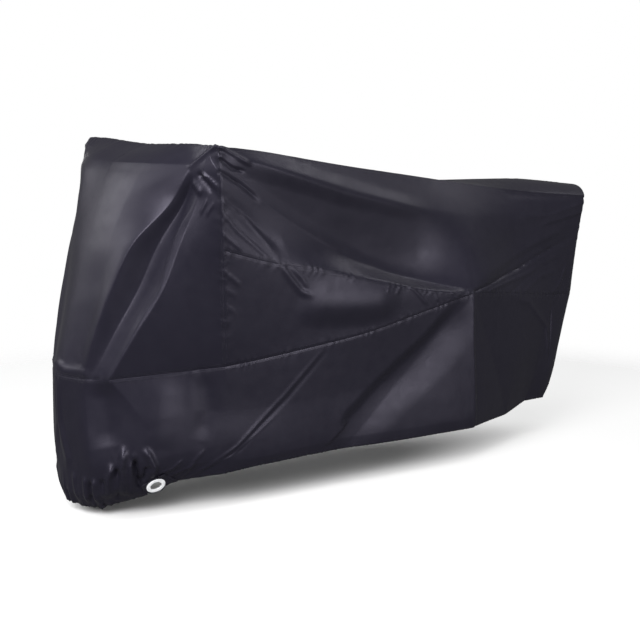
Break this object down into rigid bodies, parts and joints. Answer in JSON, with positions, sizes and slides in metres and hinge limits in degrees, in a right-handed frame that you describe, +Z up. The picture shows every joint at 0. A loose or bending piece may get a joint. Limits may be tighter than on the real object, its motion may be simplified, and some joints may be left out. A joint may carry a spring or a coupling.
{
  "type": "fitted motorcycle cover",
  "caption": "Fitted dust cover of dark taffeta, hollow and open below: wide peaked front, sloping roof, narrow tail, gathered front hem, and lock eyelets on strips at the hem.",
  "frame": {"origin": "under the roof, against the inside of the cloth, where what is covered holds it up", "axes": "+X towards the tail, -X towards the wide front, +Y towards the right side, +Z up"},
  "size_m": [2.152, 0.84, 1.119],
  "materials": {
    "taffeta": "smooth coated taffeta, dark navy charcoal, with a soft gloss",
    "eyelet_plastic": "white moulded plastic"
  },
  "bodies": {
    "root": {"front_panel": "taffeta", "side_panel_L": "taffeta", "side_panel_R": "taffeta", "wedge_panel_L": "taffeta", "wedge_panel_R": "taffeta", "rear_panel": "taffeta", "skirt_L": "taffeta", "skirt_R": "taffeta", "lock_patch_L": "taffeta", "lock_patch_R": "taffeta", "eyelet_L": "eyelet_plastic", "eyelet_R": "eyelet_plastic"}
  },
  "joints": []
}
